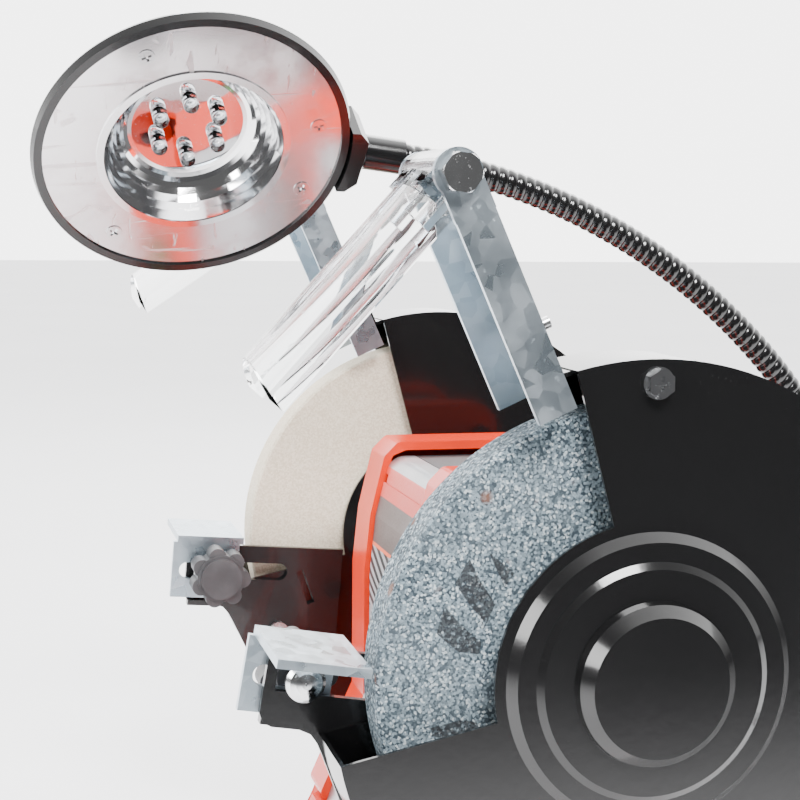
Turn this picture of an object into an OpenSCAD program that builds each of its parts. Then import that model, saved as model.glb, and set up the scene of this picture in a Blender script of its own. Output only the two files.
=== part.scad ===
// Bench grinder, 150 mm wheels, with guards, eye shields, tool rests and a lamp.
// X runs along the spindle to the operator's right, -Y is the operator's side,
// Z is up. The origin is the centre of the plane the rubber feet stand on.

/* [Spindle and wheels] */
// height of the spindle above the bench
spindle_h = 128; // [122:1:150]
// wheel diameter
wheel_d = 150; // [120:1:152]
// wheel width
wheel_w = 16; // [12:0.5:18]
// gap between the inner faces of the two wheels
wheel_gap = 205; // [200:1:250]
// spindle diameter at the wheels
spindle_d = 12.7; // [12:0.1:16]
// spindle diameter in the motor
shaft_d = 15; // [14:0.5:17]
// wheel flange diameter
flange_d = 44; // [36:1:56]
// wheel flange thickness
flange_t = 3.4; // [3:0.1:4]
// spindle nut across flats
nut_af = 19; // [17:1:24]
// spindle nut height
nut_h = 7; // [6:0.5:9]

/* [Wheel guards] */
// outer diameter of a guard
guard_d = 177; // [172:1:184]
// sheet thickness of a guard
guard_t = 1.2; // [1:0.1:2]
// width of a guard from its wall to its cover
guard_w = 29; // [28:0.5:36]
// gap from the guard wall to the wheel
wall_gap = 4; // [3.6:0.1:6]
// upper edge of the opening, degrees above the front
open_top = 75; // [65:1:80]
// lower edge of the opening, degrees below the front
open_low = 12; // [5:1:14]
// diameter of the covered hub on the cover
cover_hub_d = 89; // [80:1:96]
// diameter of the hub on the guard wall
wall_hub_d = 77; // [70:1:84]
// height of the hub dome on the cover
dome_h = 10.2; // [9:0.2:14]
// diameter of the hub dome
dome_d = 45; // [40:1:50]
// pitch radius of the cover screws
cover_screw_r = 82; // [81:0.5:84]

/* [Body and base] */
// gap between the two end bells
body_gap = 60; // [56:1:74]
// depth of an end bell along the spindle
bell_t = 20; // [18:0.5:24]
// half depth of the body, front to back
body_y = 45; // [43:0.5:52]
// height of the body above the spindle
body_top = 46; // [44:0.5:52]
// wall thickness of the castings
cast_t = 3; // [2.5:0.5:5]
// base length along the spindle
base_x = 126; // [120:1:160]
// base depth, front to back
base_y = 160; // [150:1:190]
// height of the base casting above the bench
base_h = 44; // [38:1:50]
// diameter of the neck between a bell and its guard
neck_d = 58; // [48:1:64]
// bench bolt spacing along the spindle
bolt_x = 92; // [80:1:100]
// bench bolt spacing, front to back
bolt_y = 134; // [120:1:140]
// bench bolt hole diameter
bolt_hole = 7; // [6:0.5:9]
// rubber foot diameter
foot_d = 18; // [16:1:22]

/* [Motor] */
// stator outer diameter
stator_d = 76; // [68:1:78]
// stator stack length
stack_l = 34; // [28:1:36]
// rotor diameter
rotor_d = 46; // [40:1:48]
// air gap between rotor and stator
air_gap = 0.5; // [0.4:0.1:0.8]
// bearing outer diameter
bearing_d = 35; // [32:1:37]
// bearing width
bearing_w = 11; // [9:1:12]

/* [Eye shields] */
// width of the shield bracket
channel_w = 38; // [34:0.5:42]
// depth of the bracket flanges
channel_deep = 11.3; // [10:0.5:13]
// bracket sheet thickness
channel_t = 2; // [1.5:0.1:2.5]
// length from the bracket foot to the shield pivot
channel_l = 69.5; // [62:0.5:76]
// lean of the bracket towards the operator, degrees
channel_tilt = 24; // [18:1:28]
// length of a shield from its pivot
shield_l = 78; // [66:1:86]
// shield sheet thickness
shield_t = 2.2; // [1.8:0.1:3]
// angle of the right shield below the horizon, degrees
shield_right = 48; // [35:1:60]
// angle of the left shield below the horizon, degrees
shield_left = 34; // [25:1:60]

/* [Tool rests] */
// lean of the right rest, degrees
rest_right = 9.5; // [4:0.5:11]
// lean of the left rest, degrees
rest_left = 4.5; // [3.5:0.5:11]
// table width along the spindle
rest_w = 38; // [32:0.5:39]
// table depth, front to back
rest_deep = 25.5; // [22:0.5:27]
// rest sheet thickness
rest_t = 2.5; // [2:0.1:3]
// height of the rest flange
rest_flange = 24; // [20:0.5:25]
// diameter of the clamp bolt
rest_bolt = 6; // [5:0.5:6]
// outer diameter of the star knob
knob_d = 23; // [20:0.5:26]

/* [Lamp] */
// lamp head diameter
lamp_d = 102; // [90:1:106]
// lamp head depth
lamp_deep = 22; // [20:1:26]
// reflector opening diameter
reflector_d = 59; // [50:1:62]
// diameter of the mirror disc in the reflector
led_disc_d = 38; // [34:1:40]
// diameter of a light emitting diode
led_d = 5; // [4:0.5:6]
// gooseneck diameter
goose_d = 9.5; // [8:0.5:11]
// bend radius of the lower gooseneck
goose_r1 = 80; // [76:1:84]
// bend radius of the upper gooseneck
goose_r2 = 220; // [214:1:226]

/* [Hidden] */
$fn = 96;
eps = 0.01;
zs = spindle_h;
wheel_r = wheel_d / 2;
wheel_in = wheel_gap / 2;
wheel_out = wheel_in + wheel_w;
wall_x = wheel_in - wall_gap - guard_t;
cover_x = wall_x + guard_w;
guard_r = guard_d / 2;
bell_in = body_gap / 2;
bell_out = bell_in + bell_t;
base_z = 3;
bracket_t = 2.5;
bracket_x = wall_x - bracket_t;
rest_x = bracket_x - rest_t - 0.3;
foot_y = -28.9;
foot_z = 73.7;
ct = cos(channel_tilt);
st = sin(channel_tilt);
pivot_y = foot_y - channel_l * st;
pivot_z = foot_z + channel_l * ct;
channel_x = wheel_in + wheel_w / 2 - channel_w / 2 + 0.8;
cover_screw_a = [90, 205, 318];
clamp_y = -88.6;
clamp_z = -18.4;
table_z = -5;
socket_a = 60;
goose_y0 = 98.5;
goose_z0 = 71.5;
goose_h0 = 49;
arc1_y = goose_y0 - goose_r1 * sin(goose_h0);
arc1_z = goose_z0 - goose_r1 * cos(goose_h0);
arc2_y = goose_y0 - goose_r2 * sin(goose_h0);
arc2_z = goose_z0 - goose_r2 * cos(goose_h0);
goose_end_h = 7.2;
goose_end_y = arc2_y + goose_r2 * sin(goose_end_h);
goose_end_z = arc2_z + goose_r2 * cos(goose_end_h);
tail_y = arc1_y + goose_r1 * sin(180 - socket_a);
tail_z = arc1_z + goose_r1 * cos(180 - socket_a);
tail_l = 84;
socket_y = tail_y - tail_l * cos(socket_a);
socket_z = tail_z - tail_l * sin(socket_a);
joint_gap = 1.4;

// ---- helpers ----

module side(s) {
  if (s > 0) children();
  else mirror([1, 0, 0]) children();
}

module at_spindle() translate([0, 0, zs]) children();

// a solid of revolution about X, profile points given as [radius, x]
module about_x(points, a0 = 0, sweep = 360)
  rotate([0, 90, 0]) rotate([0, 0, a0])
    rotate_extrude(angle = sweep) polygon(points);

module rod_x(d, x0, x1, n = 96)
  translate([x0, 0, 0]) rotate([0, 90, 0]) cylinder(d = d, h = x1 - x0, $fn = n);

module tube_x(d, bore, x0, x1)
  about_x([[bore / 2, x0], [d / 2, x0], [d / 2, x1], [bore / 2, x1]]);

// a plate lying in the YZ plane, outline points given as [y, z]
module plate_x(x0, x1)
  translate([x0, 0, 0]) rotate([90, 0, 90])
    linear_extrude(height = x1 - x0) children();

module cross_cut(w, l, h) {
  cube([l, w, h], center = true);
  cube([w, l, h], center = true);
}

// pan head screw along +Z, head underside at z = 0, shank below
module pan_screw(d, head_d, head_h, l) {
  difference() {
    union() {
      cylinder(d = d, h = l + eps, $fn = 32);
      translate([0, 0, -head_h]) cylinder(d = head_d, h = head_h, $fn = 48);
    }
    translate([0, 0, -head_h]) cross_cut(head_d * 0.14, head_d * 0.6, head_h);
  }
}

// flanged hex screw with a cross recess, along +Z, head below z = 0
module hex_screw(d, af, head_h, l) {
  difference() {
    union() {
      cylinder(d = d, h = l, $fn = 32);
      translate([0, 0, -1]) cylinder(d = af * 1.28, h = 1, $fn = 48);
      translate([0, 0, -head_h]) cylinder(d = af / cos(30), h = head_h, $fn = 6);
    }
    translate([0, 0, -head_h]) cross_cut(af * 0.13, af * 0.6, head_h * 0.8);
  }
}

// the lean of the body front and back, and the flare of the skirt
function body_outline(s) = [
  [-body_y + s, 0], [-body_y + 2 + s, 20], [-body_y + 7 + s, body_top - 5],
  [-body_y + 12 + s, body_top - s], [body_y - 12 - s, body_top - s],
  [body_y - 7 - s, body_top - 5], [body_y - 2 - s, 20], [body_y - s, 0],
  [body_y - s, -46], [body_y + 17 - s, base_h - zs],
  [-body_y - 17 + s, base_h - zs], [-body_y + s, -46]];

module rounded(x, y, r)
  offset(r = r) square([x - 2 * r, y - 2 * r], center = true);

// ---- base ----

module base_form(s) {
  hull() {
    translate([0, 0, base_z]) linear_extrude(height = 8)
      rounded(base_x - 2 * s, base_y - 2 * s, 12);
    translate([0, 0, base_h - 6 - s]) linear_extrude(height = 6)
      rounded(2 * bell_out - 2 * s, 2 * (body_y + 17) - 2 * s, 5);
  }
}

module base() color("orangered") {
  difference() {
    union() {
      base_form(0);
      // pads the lamp socket and the cord gland seat on
      socket_place() translate([0, 0, -10]) cylinder(d = 25, h = 7);
      gland_place() translate([0, 0, -6]) cylinder(d = 20, h = 6);
    }
    difference() {
      translate([0, 0, -eps]) base_form(cast_t);
      for (x = [-1, 1], y = [-1, 1])
        translate([x * bolt_x / 2, y * bolt_y / 2, 0])
          cylinder(d = foot_d + 6, h = 14);
      for (x = [-1, 1], y = [-1, 1])
        translate([x * 30, y * 40, 0]) cylinder(d = 9, h = 60);
      socket_place() translate([0, 0, -8]) cylinder(d = 26, h = 30);
      gland_place() translate([0, 0, -6]) cylinder(d = 21, h = 6);
    }
    translate([0, 0, base_z - 1]) linear_extrude(height = 2.5)
      rounded(base_x - 2 * cast_t, base_y - 2 * cast_t, 9);
    for (x = [-1, 1], y = [-1, 1])
      translate([x * bolt_x / 2, y * bolt_y / 2, -1]) {
        cylinder(d = bolt_hole, h = base_h);
        cylinder(d = foot_d - 4, h = 9);
        translate([0, 0, 15]) cylinder(d = foot_d, h = base_h);
      }
    for (x = [-1, 1], y = [-1, 1])
      translate([x * 30, y * 40, 0]) cylinder(d = 3.2, h = 20, $fn = 32);
    // way through to the motor
    translate([0, 0, base_h - 8]) linear_extrude(height = 12)
      rounded(body_gap - 14, 60, 6);
    // switch opening, on the front slope
    switch_place() translate([0, 0, -8]) cube([27.2, 12.2, 20], center = true);
    // socket and gland holes at the back
    socket_place() translate([0, 0, -20]) cylinder(d = 12, h = 24, $fn = 48);
    socket_place() translate([0, 0, -3]) cylinder(d = 25.4, h = 40);
    gland_place() translate([0, 0, -12]) cylinder(d = 12, h = 30, $fn = 48);
    gland_place() cylinder(d = 20.4, h = 30);
    for (x = [-1, 1], y = [-1, 1])
      translate([x * (bell_out - 8), y * 46, base_h - 8])
        cylinder(d = 4.2, h = 12, $fn = 32);
  }
}

module bottom_plate() color("silver") {
  difference() {
    translate([0, 0, base_z]) linear_extrude(height = 1.4)
      rounded(base_x - 2 * cast_t - 0.6, base_y - 2 * cast_t - 0.6, 8.7);
    for (x = [-1, 1], y = [-1, 1]) {
      translate([x * bolt_x / 2, y * bolt_y / 2, 0]) cylinder(d = foot_d - 4, h = 9);
      translate([x * 30, y * 40, 0]) cylinder(d = 4.2, h = 9, $fn = 32);
    }
    for (i = [-3:3])
      translate([i * 9, 0, 0]) cube([4, 44, 12], center = true);
  }
}

module feet() color("dimgray") {
  for (x = [-1, 1], y = [-1, 1])
    translate([x * bolt_x / 2, y * bolt_y / 2, 0]) difference() {
      union() {
        cylinder(d1 = foot_d - 2, d2 = foot_d, h = 1.4);
        translate([0, 0, 1.4]) cylinder(d = foot_d, h = base_z - 1.4);
        cylinder(d = foot_d - 4.2, h = 7.8);
      }
      translate([0, 0, -1]) cylinder(d = bolt_hole, h = 12, $fn = 48);
    }
}

module bottom_screws() color("silver") {
  for (x = [-1, 1], y = [-1, 1])
    translate([x * 30, y * 40, base_z]) pan_screw(3.2, 6.5, 1.6, 12);
}

// ---- end bells and necks ----

module bell() color("orangered") {
  difference() {
    at_spindle() plate_x(bell_in, bell_out) offset(r = 3) offset(delta = -3)
      polygon(body_outline(0));
    // cavity open towards the motor
    at_spindle() plate_x(bell_in - 1, bell_out - 5) offset(r = 2) offset(delta = -2)
      intersection() {
        polygon(body_outline(cast_t));
        translate([-100, base_h - zs + cast_t]) square([200, 300]);
      }
    at_spindle() rod_x(spindle_d + 8, 0, bell_out + 1);
    at_spindle() for (a = tie_angles)
      translate([0, tie_r * cos(a), tie_r * sin(a)]) rod_x(4.4, 0, bell_out + 1, 32);
    for (y = [-1, 1])
      translate([bell_out - 8, y * 46, base_h - 1]) cylinder(d = 4.2, h = 12, $fn = 32);
  }
  at_spindle() difference() {
    rod_x(bearing_d + 8, bell_out - 5 - bearing_w, bell_out - 5 + eps);
    rod_x(bearing_d, bell_in - 1, bell_out - 5 - eps);
    rod_x(spindle_d + 8, 0, bell_out + 1);
  }
}

tie_r = 46;
tie_angles = [47, 133, 222, 318];

module neck() color("black") {
  at_spindle() difference() {
    about_x([[10, bell_out], [neck_d / 2 + 2, bell_out], [neck_d / 2 + 2, bell_out + 4],
      [neck_d / 2 - 4, bell_out + 12], [neck_d / 2 - 4, wall_x - 12],
      [neck_d / 2 + 4, wall_x - 5], [neck_d / 2 + 4, wall_x], [10, wall_x]]);
    rod_x(40, bell_out + 5, wall_x - 5);
    for (a = [30, 150, 270])
      translate([0, 28 * cos(a), 28 * sin(a)]) rod_x(4, wall_x - 6, wall_x + 1, 32);
  }
}

// neck and guard fasteners
module neck_screws() color("silver") {
  for (s = [-1, 1]) side(s) at_spindle() for (a = [30, 150, 270])
    translate([wall_x + guard_t + 0.2, 28 * cos(a), 28 * sin(a)]) rotate([0, -90, 0])
      pan_screw(4, 8, 1.6, 7);
}

module tie_bolts() color("silver") {
  at_spindle() for (a = tie_angles)
    translate([0, tie_r * cos(a), tie_r * sin(a)]) {
      rod_x(4, -bell_out, bell_out, 32);
      rod_x(8, bell_out, bell_out + 3, 48);
      translate([-bell_out - 3.2, 0, 0]) rotate([0, 90, 0]) cylinder(d = 8, h = 3.2, $fn = 6);
    }
}

// ---- panels ----

// the rolled top edge of the front panel, centre at [roll_y, roll_z]
roll_y = -body_y + 14.2;
roll_z = body_top - 11.4;

function roll(r) = [for (a = [170:-10:90]) [roll_y + r * cos(a), roll_z + r * sin(a)]];

module front_panel() color("gray") {
  at_spindle() difference() {
    plate_x(-bell_in + 0.2, bell_in - 0.2) polygon(concat(
      [[-body_y - 13.4, base_h - zs], [-body_y + 2, -40], [-body_y + 2, 0], [-body_y + 4, 20]],
      roll(6.4), [[roll_y + 4, roll_z + 6.4], [roll_y + 4, roll_z + 3.8]],
      [for (i = [8:-1:0]) roll(3.8)[i]],
      [[-body_y + 6.6, 20], [-body_y + 4.6, 0], [-body_y + 4.6, -40],
        [-body_y - 10.8, base_h - zs]]));
    translate([-bell_in, -body_y + 6, 33]) cube([7, 8, 3.6], center = true);
  }
}

module label() color("dimgray") {
  at_spindle() plate_x(-bell_in + 1.4, bell_in - 1.4) polygon([
    [-body_y + 2, -38], [-body_y + 2, 0], [-body_y + 4, 20], [-body_y + 6.9, 32],
    [-body_y + 6.5, 32.1], [-body_y + 3.6, 20.05], [-body_y + 1.6, 0], [-body_y + 1.6, -38]]);
}

module rear_panel() color("black") {
  at_spindle() difference() {
    plate_x(-bell_in + 0.2, bell_in - 0.2) polygon([
      [body_y - 2, -40], [body_y - 2, 0], [body_y - 4, 20], [body_y - 8, 36],
      [body_y - 14, 40], [body_y - 14, 37.4], [body_y - 10, 34.6],
      [body_y - 6.6, 20], [body_y - 4.6, 0], [body_y - 4.6, -40],
      [body_y + 10.8, base_h - zs], [body_y + 13.4, base_h - zs]]);
    for (i = [0:5])
      translate([0, body_y, -30 + i * 9]) cube([40, 20, 4], center = true);
  }
}

module motor_shell() color("black") {
  at_spindle() difference() {
    union() {
      tube_x(stator_d + 3, stator_d, -bell_in + 0.2, bell_in - 0.2);
      translate([-bell_in + 0.2, -body_y + 18.6, stator_d / 2 + 1])
        cube([body_gap - 0.4, 2 * body_y - 33, 2]);
    }
    rod_x(stator_d, -bell_in, bell_in);
  }
}

// ---- motor ----

module stator() color("slategray") {
  at_spindle() difference() {
    rod_x(stator_d, -stack_l / 2, stack_l / 2);
    rod_x(rotor_d + 2 * air_gap, -stack_l, stack_l);
    for (i = [0:15]) rotate([i * 22.5, 0, 0])
      translate([0, 0, rotor_d / 2 + 7]) cube([stack_l + 2, 4, 11], center = true);
  }
}

module windings() color("peru") {
  at_spindle() {
    for (s = [-1, 1]) side(s)
      about_x([[rotor_d / 2 + 2, stack_l / 2], [rotor_d / 2 + 12.5, stack_l / 2],
        [rotor_d / 2 + 12.5, stack_l / 2 + 8], [rotor_d / 2 + 10, stack_l / 2 + 11],
        [rotor_d / 2 + 5, stack_l / 2 + 11], [rotor_d / 2 + 2, stack_l / 2 + 8]]);
    for (i = [0:15]) rotate([i * 22.5, 0, 0])
      translate([0, 0, rotor_d / 2 + 7]) cube([stack_l + 1, 3.4, 9], center = true);
  }
}

module rotor() color("lightgray") {
  at_spindle() difference() {
    union() {
      rod_x(rotor_d, -stack_l / 2, stack_l / 2);
      rod_x(rotor_d - 2, -stack_l / 2 - 5, stack_l / 2 + 5);
    }
    rod_x(shaft_d, -stack_l, stack_l);
    for (s = [-1, 1]) side(s) tube_x(rotor_d - 12, shaft_d - 1, stack_l / 2, stack_l / 2 + 6);
  }
}

shaft_end = wheel_out + flange_t + nut_h + 2.5;
seat_x = wheel_in - flange_t;

module shaft() color("lightsteelblue") {
  at_spindle() {
    rod_x(shaft_d, -bell_out + 5, bell_out - 5);
    for (s = [-1, 1]) side(s) {
      about_x([[0, bell_out - 5 - eps], [shaft_d / 2, bell_out - 5 - eps],
        [shaft_d / 2, seat_x], [spindle_d / 2, seat_x],
        [spindle_d / 2, shaft_end - 1], [spindle_d / 2 - 1, shaft_end], [0, shaft_end]]);
    }
  }
}

module bearing() color("silver") {
  x0 = bell_out - 5 - bearing_w;
  x1 = x0 + bearing_w;
  inner = shaft_d / 2 + 0.04;
  outer = bearing_d / 2;
  at_spindle() about_x([[inner, x0], [inner + 3, x0], [inner + 3, x0 + 1],
    [outer - 3, x0 + 1], [outer - 3, x0], [outer, x0], [outer, x1], [outer - 3, x1],
    [outer - 3, x1 - 1], [inner + 3, x1 - 1], [inner + 3, x1], [inner, x1]]);
}

module capacitor() color("darkslategray") {
  translate([-14, 20, 12]) {
    rotate([0, 90, 0]) cylinder(d = 14, h = 34, $fn = 64);
    translate([34, 0, 0]) rotate([0, 90, 0]) cylinder(d = 12, h = 3, $fn = 64);
    translate([4, -2, -7.6]) cube([24, 4, 3]);
  }
}

// ---- switch ----

skirt_a = atan((base_y / 2 - body_y - 17) / (base_h - 8 - base_z));
switch_z = 24;
switch_y = -(base_y / 2 - (switch_z - base_z - 8) * tan(skirt_a));

module switch_place()
  translate([0, switch_y, switch_z]) rotate([90 - skirt_a, 0, 0]) children();

module switch_body() color("black") {
  switch_place() difference() {
    union() {
      translate([0, 0, 1]) cube([32, 17, 2], center = true);
      translate([0, 0, -7]) cube([27, 12, 16], center = true);
      for (x = [-7, 0, 7]) translate([x, 0, -17]) cube([0.8, 5, 6], center = true);
    }
    translate([0, 0, 0.5]) rotate([90, 0, 0]) cylinder(d = 2.1, h = 11.8, center = true, $fn = 32);
    translate([0, 0, -0.4]) cube([23, 9.6, 8.8], center = true);
  }
}

module rocker() color("darkgreen") {
  switch_place() difference() {
    union() {
      translate([0, 0, 1.4]) rotate([90, 0, 0]) linear_extrude(height = 8.8, center = true)
        polygon([[-10.6, 2.2], [0, 0.6], [10.6, -0.6], [10.2, -2.6], [0, -3.6], [-10.2, -1]]);
      translate([0, 0, 0.5]) rotate([90, 0, 0])
        cylinder(d = 2, h = 11.4, center = true, $fn = 32);
    }
    translate([6.2, 0, 1.4]) cube([0.8, 5, 1.2], center = true);
  }
}

module gland_place()
  translate([34, base_y / 2 - 8, 21]) rotate([-90, 0, 0]) children();

module cord_gland() color("black") {
  gland_place() difference() {
    union() {
      translate([0, 0, -8]) cylinder(d = 11.8, h = 14, $fn = 48);
      cylinder(d = 17, h = 5, $fn = 48);
      translate([0, 0, 5]) cylinder(d = 15, h = 5, $fn = 6);
      translate([0, 0, -9]) cylinder(d = 15, h = 3, $fn = 6);
    }
    translate([0, 0, -12]) cylinder(d = 7, h = 30, $fn = 48);
  }
}

// ---- lamp ----

module socket_place()
  translate([0, socket_y, zs + socket_z]) rotate([-90 + socket_a, 0, 0]) children();

module lamp_socket() color("black") {
  socket_place() difference() {
    union() {
      translate([0, 0, -12]) cylinder(d = 11.8, h = 14, $fn = 48);
      translate([0, 0, -12]) cylinder(d = 16, h = 4, $fn = 6);
      translate([0, 0, -3]) cylinder(d = 20, h = 3.01, $fn = 6);
      cylinder(d = 17, h = 7, $fn = 48);
    }
    translate([0, 0, -13]) cylinder(d = 5, h = 30, $fn = 32);
    translate([0, 0, 5]) cylinder(d = goose_d + 0.1, h = 30, $fn = 64);
  }
}

// a bent length of gooseneck in the YZ plane; heading h is degrees below level
module bend(cy, cz, r, h0, h1, d = goose_d)
  translate([0, cy, zs + cz]) rotate([90, 0, 90]) rotate([0, 0, 90 - h1])
    rotate_extrude(angle = h1 - h0, $fn = 96) translate([r, 0]) circle(d = d, $fn = 48);

goose_split1 = 92;
goose_split2 = 41;
gap1 = joint_gap / goose_r1 * 57.3;
gap2 = joint_gap / goose_r2 * 57.3;

module goose_low() color("black") {
  bend(arc1_y, arc1_z, goose_r1, goose_split1 + gap1, 180 - socket_a);
  socket_place() translate([0, 0, 5.3])
    cylinder(d = goose_d - 0.04, h = tail_l - 4.8, $fn = 48);
}

module goose_mid() color("black") {
  bend(arc1_y, arc1_z, goose_r1, goose_h0, goose_split1);
  bend(arc2_y, arc2_z, goose_r2, goose_split2 + gap2, goose_h0 + 0.15, goose_d - 0.04);
}

module goose_top() color("black") {
  bend(arc2_y, arc2_z, goose_r2, goose_end_h, goose_split2);
}

// the ferrule that joins the gooseneck to the lamp block
module ferrule_place()
  translate([0, goose_end_y, zs + goose_end_z]) rotate([90 - goose_end_h, 0, 0]) children();

module ferrule() color("black") {
  ferrule_place() difference() {
    union() {
      cylinder(d = 11.5, h = 13.2, $fn = 64);
      translate([0, 0, 13]) cylinder(d = 10, h = 1, $fn = 64);
    }
    translate([0, 0, -1]) cylinder(d = 4, h = 30, $fn = 32);
  }
}

// the lamp head stands on its own axes: its face looks along +Z, the block is on +X
lamp_at = [10.5, goose_end_y - 70.2, zs + goose_end_z + 0.2];
function unit(v) = v / norm(v);
lamp_n = unit([0.755, 0.072, -0.652]);
lamp_v = unit(cross(lamp_n, [-0.118, 0.9927, -0.027]));
lamp_u = cross(lamp_v, lamp_n);
lamp_m = [
  [lamp_u[0], lamp_v[0], lamp_n[0], lamp_at[0]],
  [lamp_u[1], lamp_v[1], lamp_n[1], lamp_at[1]],
  [lamp_u[2], lamp_v[2], lamp_n[2], lamp_at[2]],
  [0, 0, 0, 1]];
lamp_r = lamp_d / 2;
led_a = 37;
led_ring = 10.8;
face_screw_r = 40.3;
face_screw_a = [18.5, 121, -121, -18.5];
bowl_deep = 13.5;

module lamp_place() multmatrix(lamp_m) children();

module lamp_block() color("black") {
  lamp_place() difference() {
    translate([lamp_r - 6, -12, -13]) cube([11, 24, 15]);
    translate([0, 0, -3.4]) cylinder(r = lamp_r + 0.02, h = 30, $fn = 128);
    rotate_extrude($fn = 128) polygon([[0, -21], [lamp_r - 26.6, -20.4], [lamp_r - 3.4, -4.96],
      [lamp_r + 0.02, -3.3], [0, -3.3]]);
    for (s = [-1, 1])
      translate([lamp_r + 5, s * 12, -6]) rotate([0, 0, 45]) cube([5, 5, 20], center = true);
  }
  // the pin that turns in the ferrule
  ferrule_place() translate([0, 0, 3]) cylinder(d = 3.92, h = 13, $fn = 32);
}

module lamp_shell() color("black") {
  lamp_place() difference() {
    union() {
      rotate_extrude($fn = 128) polygon([[0, -lamp_deep], [15, -lamp_deep],
        [lamp_r - 27, -lamp_deep + 2], [lamp_r - 3.5, -5], [lamp_r - 0.8, -3.4],
        [lamp_r, -1.8], [lamp_r - 0.8, 0.8], [lamp_r - 3.4, 0.8], [lamp_r - 3.4, -1.2],
        [lamp_r - 4.8, -1.2], [lamp_r - 5.4, -3.6], [lamp_r - 28, -lamp_deep + 4.4],
        [14, -lamp_deep + 2], [0, -lamp_deep + 2]]);
      for (a = face_screw_a)
        rotate([0, 0, a]) translate([face_screw_r, 0, -7.4])
          cylinder(d = 5.6, h = 6.1, $fn = 32);
    }
    for (a = face_screw_a)
      rotate([0, 0, a]) translate([face_screw_r, 0, -6.2]) cylinder(d = 2.6, h = 20, $fn = 24);
  }
}

module lamp_face() color("silver") {
  lamp_place() difference() {
    translate([0, 0, -1.2]) cylinder(r = lamp_r - 3.5, h = 1.2, $fn = 128);
    translate([0, 0, -2]) cylinder(d = reflector_d, h = 4, $fn = 96);
    for (a = face_screw_a)
      rotate([0, 0, a]) translate([face_screw_r, 0, 0]) {
        translate([0, 0, -2]) cylinder(d = 3.2, h = 4, $fn = 32);
        translate([0, 0, -1]) cylinder(d1 = 3.2, d2 = 5.4, h = 1.02, $fn = 32);
      }
  }
}

// the bowl's radius at a given depth below the face
function bowl(z) = led_disc_d / 2 + (reflector_d - led_disc_d) / 2
  * sqrt((z + bowl_deep) / bowl_deep);

module reflector() color("silver") {
  depths = [for (i = [0:8]) -bowl_deep + bowl_deep * pow(i / 8, 2)];
  lamp_place() rotate_extrude($fn = 96) polygon(concat(
    [for (z = depths) [bowl(z) - 0.05, z]],
    [[reflector_d / 2 + 1.4, 0], [reflector_d / 2 + 1.4, 0.6], [reflector_d / 2 - 0.9, 0.6]],
    [for (i = [8:-1:0]) [bowl(depths[i]) - 0.9, depths[i] + 0.01]]));
}

module led_disc() color("silver") {
  lamp_place() difference() {
    translate([0, 0, -bowl_deep - 1.6]) cylinder(d = led_disc_d, h = 1.6, $fn = 96);
    for (i = [0:5]) rotate([0, 0, led_a + i * 60]) translate([led_ring, 0, -bowl_deep - 3])
      cylinder(d = led_d + 0.1, h = 6, $fn = 48);
  }
}

module leds() color("white") {
  lamp_place() for (i = [0:5])
    rotate([0, 0, led_a + i * 60]) translate([led_ring, 0, -bowl_deep]) {
      translate([0, 0, -2.2]) cylinder(d = led_d, h = 6.2, $fn = 48);
      translate([0, 0, 4]) sphere(d = led_d, $fn = 48);
      translate([0, 0, -2.6]) cylinder(d = led_d + 0.8, h = 1, $fn = 48);
    }
}

module face_screws() color("silver") {
  lamp_place() for (a = face_screw_a)
    rotate([0, 0, a]) translate([face_screw_r, 0, 0]) difference() {
      rotate_extrude($fn = 48) polygon([[0, -5.6], [1.3, -5.6], [1.3, -1.1], [2.6, -0.1],
        [2.6, 0.3], [0, 0.3]]);
      translate([0, 0, 0.3]) cross_cut(0.8, 3.2, 1.4);
    }
}

// ---- guards ----

// a sector of the ring r0..r1, from x0 to x1, round the back of the wheel
module guard_sector(r0, r1, x0, x1, top, low)
  about_x([[r0, x0], [r1, x0], [r1, x1], [r0, x1]], 270 + low, 360 - top - low);

module guard(a) color("black") {
  at_spindle() difference() {
    union() {
      difference() {
        union() {
          guard_sector(wall_hub_d / 2 - 1, guard_r, wall_x + 0.05, wall_x + guard_t,
            open_top, open_low);
          rod_x(wall_hub_d, wall_x, wall_x + guard_t + 0.2, 128);
        }
        rod_x(flange_d / 2, wall_x - 1, wall_x + 3);
      }
      guard_sector(guard_r - guard_t, guard_r, wall_x + 0.3, cover_x, open_top, open_low);
      for (a = cover_screw_a)
        translate([0, -cover_screw_r * cos(a), cover_screw_r * sin(a)])
          rod_x(8.4, wall_x + 0.6, cover_x, 48);
      // the tab that carries the shield bracket
      translate([0, foot_y, foot_z]) rotate([channel_tilt, 0, 0])
        translate([channel_x + 7, channel_deep / 2, 7.8])
          cube([channel_w - 14, guard_t + 0.8, 22.4]);
      about_x([[guard_r - 1.6, channel_x + 7.5], [guard_r - 0.3, channel_x + 7.5],
        [guard_r - 0.3, channel_x + channel_w - 7.5],
        [guard_r - 1.6, channel_x + channel_w - 7.5]], 189, 8.85);
    }
    for (a = cover_screw_a)
      translate([0, -cover_screw_r * cos(a), cover_screw_r * sin(a)])
        rod_x(3.4, cover_x - 12, cover_x + 1, 32);
    for (a = [30, 150, 270])
      translate([0, 28 * cos(a), 28 * sin(a)]) rod_x(4.4, wall_x - 1, wall_x + 3, 32);
    channel_holes(3.4);
    side_screws(3.4, a);
  }
}

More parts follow.
